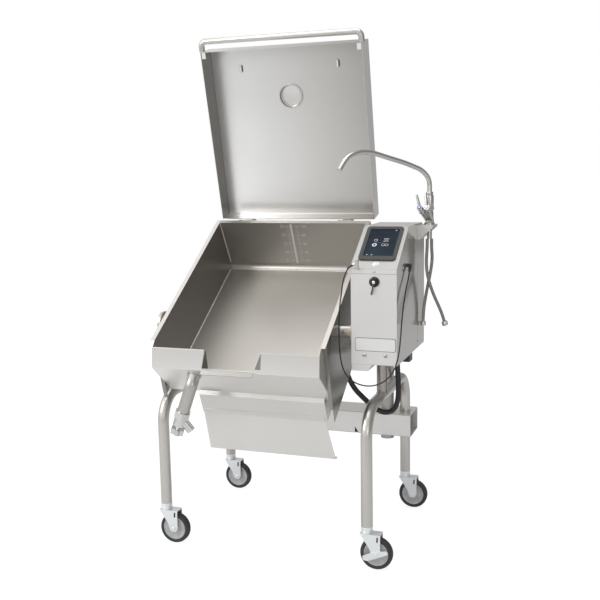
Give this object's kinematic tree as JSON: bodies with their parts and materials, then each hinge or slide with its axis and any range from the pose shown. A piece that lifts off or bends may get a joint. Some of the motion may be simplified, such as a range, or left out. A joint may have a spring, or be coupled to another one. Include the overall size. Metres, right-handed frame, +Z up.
{
  "type": "tilting skillet",
  "caption": "Tilting braising pan on a bent-tube caster frame, with lid, side console, faucet and drain valve.",
  "frame": {"origin": "on the floor midway between the four caster legs", "axes": "+X to the console side, +Y to the rear, +Z up"},
  "size_m": [1.1214, 0.9036, 2.0653],
  "materials": {
    "tube_steel": "satin",
    "sheet_steel": "brushed",
    "pan_steel": "satin",
    "lid_steel": "brushed",
    "bronze": "satin",
    "fastener_steel": "satin",
    "bezel_plastic": "matte",
    "screen_glass": "gloss",
    "label_plate": "satin",
    "black_plastic": "matte",
    "cast_aluminium": "cast",
    "circuit_board": "matte",
    "black_rubber": "matte",
    "chrome": "polished",
    "braided_hose": "braided",
    "zinc": "satin",
    "hub_grey": "matte",
    "tyre_rubber": "matte",
    "heater_steel": "matte",
    "button_white": "gloss"
  },
  "bodies": {
    "root": {"arch_left": "tube_steel", "arch_right": "tube_steel", "cross_beam": "tube_steel", "front_post": "tube_steel", "rear_post": "tube_steel", "left_support": "tube_steel", "trunnion_bearings": "bronze", "console_housing": "sheet_steel", "console_covers": "sheet_steel", "console_screws": "fastener_steel", "screen_bezel": "bezel_plastic", "touch_screen": "screen_glass", "name_plate": "label_plate", "lock_barrel": "black_plastic", "tilt_gearmotor": "cast_aluminium", "control_board": "circuit_board", "underside_glands": "black_plastic", "heater_conduit": "black_rubber", "faucet_bracket": "sheet_steel", "faucet_body": "chrome", "hose_cold": "braided_hose", "hose_hot": "braided_hose", "hose_fittings": "chrome", "probe_holder": "fastener_steel", "probe_cord": "black_rubber", "probe_plug": "black_plastic", "caster_cups": "zinc"},
    "pan": {"pan_tub": "pan_steel", "pan_jacket": "sheet_steel", "heater_housing": "sheet_steel", "drip_shield": "sheet_steel", "heating_elements": "heater_steel", "trunnion_shafts": "tube_steel", "drain_pipe": "tube_steel", "drain_valve": "chrome", "hinge_brackets": "sheet_steel", "conduit_elbow": "black_plastic"},
    "lid": {"lid_shell": "lid_steel", "lid_handle": "tube_steel", "vent_disc": "sheet_steel", "lid_knuckles": "sheet_steel"},
    "key": {"lock_key": "fastener_steel"},
    "button": {"start_button": "button_white"},
    "cold_tap": {"tap_lever_cold": "chrome"},
    "hot_tap": {"tap_lever_hot": "chrome"},
    "spout_arm": {"spout": "chrome"},
    "drain_knob_body": {"drain_knob": "black_plastic"},
    "brake": {"caster_brake": "zinc"},
    "fork_fl": {"caster_fork_fl": "zinc"},
    "wheel_fl": {"caster_hub_fl": "hub_grey", "caster_tyre_fl": "tyre_rubber"},
    "fork_rl": {"caster_fork_rl": "zinc"},
    "wheel_rl": {"caster_hub_rl": "hub_grey", "caster_tyre_rl": "tyre_rubber"},
    "fork_fr": {"caster_fork_fr": "zinc"},
    "wheel_fr": {"caster_hub_fr": "hub_grey", "caster_tyre_fr": "tyre_rubber"},
    "fork_rr": {"caster_fork_rr": "zinc"},
    "wheel_rr": {"caster_hub_rr": "hub_grey", "caster_tyre_rr": "tyre_rubber"}
  },
  "joints": [
    {"name": "pan_tilt", "type": "hinge", "parent": "root", "child": "pan", "pos_m": [0, -0.2844, 0.907], "axis": [1, 0, 0], "range_deg": [-32.88, 57.12], "deforming": ["heater_conduit"]},
    {"name": "lid_hinge", "type": "hinge", "parent": "pan", "child": "lid", "pos_m": [0, 0.23398, 1.27663], "axis": [1, 0, 0], "range_deg": [0, 108.58]},
    {"name": "spout_swing", "type": "hinge", "parent": "root", "child": "spout_arm", "pos_m": [0.579, 0.092, 1.402], "axis": [0, 0, 1], "range_deg": [-60, 60]},
    {"name": "cold_tap_turn", "type": "hinge", "parent": "root", "child": "cold_tap", "pos_m": [0.56, 0.007, 1.351], "axis": [-0.1348, -0.8651, 0.4831], "range_deg": [0, 90]},
    {"name": "hot_tap_turn", "type": "hinge", "parent": "root", "child": "hot_tap", "pos_m": [0.584, 0.018, 1.351], "axis": [0.0235, 0.8478, -0.5299], "range_deg": [0, 90]},
    {"name": "lock_turn", "type": "hinge", "parent": "root", "child": "key", "pos_m": [0.458, -0.33, 1.102], "axis": [0, -1, 0], "range_deg": [0, 90]},
    {"name": "start_press", "type": "slide", "parent": "root", "child": "button", "axis": [0, 0.5762, -0.8173], "range_m": [0, 0.0025], "stiffness_N_per_m": 800},
    {"name": "drain_turn", "type": "hinge", "parent": "pan", "child": "drain_knob_body", "pos_m": [-0.2881, -0.46807, 0.53197], "axis": [-0.3527, 0.0278, -0.9353], "range_deg": [0, 360]},
    {"name": "brake_pivot", "type": "hinge", "parent": "fork_fr", "child": "brake", "pos_m": [0.4635, -0.355, 0.0635], "axis": [0, 1, 0], "range_deg": [0, 20]},
    {"name": "swivel_fl", "type": "hinge", "parent": "root", "child": "fork_fl", "pos_m": [-0.426, -0.329, 0.15], "axis": [0, 0, 1], "continuous": true},
    {"name": "roll_fl", "type": "hinge", "parent": "fork_fl", "child": "wheel_fl", "pos_m": [-0.3885, -0.329, 0.0635], "axis": [0, 1, 0], "continuous": true},
    {"name": "swivel_rl", "type": "hinge", "parent": "root", "child": "fork_rl", "pos_m": [-0.426, 0.329, 0.15], "axis": [0, 0, 1], "continuous": true},
    {"name": "roll_rl", "type": "hinge", "parent": "fork_rl", "child": "wheel_rl", "pos_m": [-0.3885, 0.329, 0.0635], "axis": [0, 1, 0], "continuous": true},
    {"name": "swivel_fr", "type": "hinge", "parent": "root", "child": "fork_fr", "pos_m": [0.426, -0.329, 0.15], "axis": [0, 0, 1], "continuous": true},
    {"name": "roll_fr", "type": "hinge", "parent": "fork_fr", "child": "wheel_fr", "pos_m": [0.4635, -0.329, 0.0635], "axis": [0, 1, 0], "continuous": true},
    {"name": "swivel_rr", "type": "hinge", "parent": "root", "child": "fork_rr", "pos_m": [0.426, 0.329, 0.15], "axis": [0, 0, 1], "continuous": true},
    {"name": "roll_rr", "type": "hinge", "parent": "fork_rr", "child": "wheel_rr", "pos_m": [0.4635, 0.329, 0.0635], "axis": [0, 1, 0], "continuous": true}
  ]
}
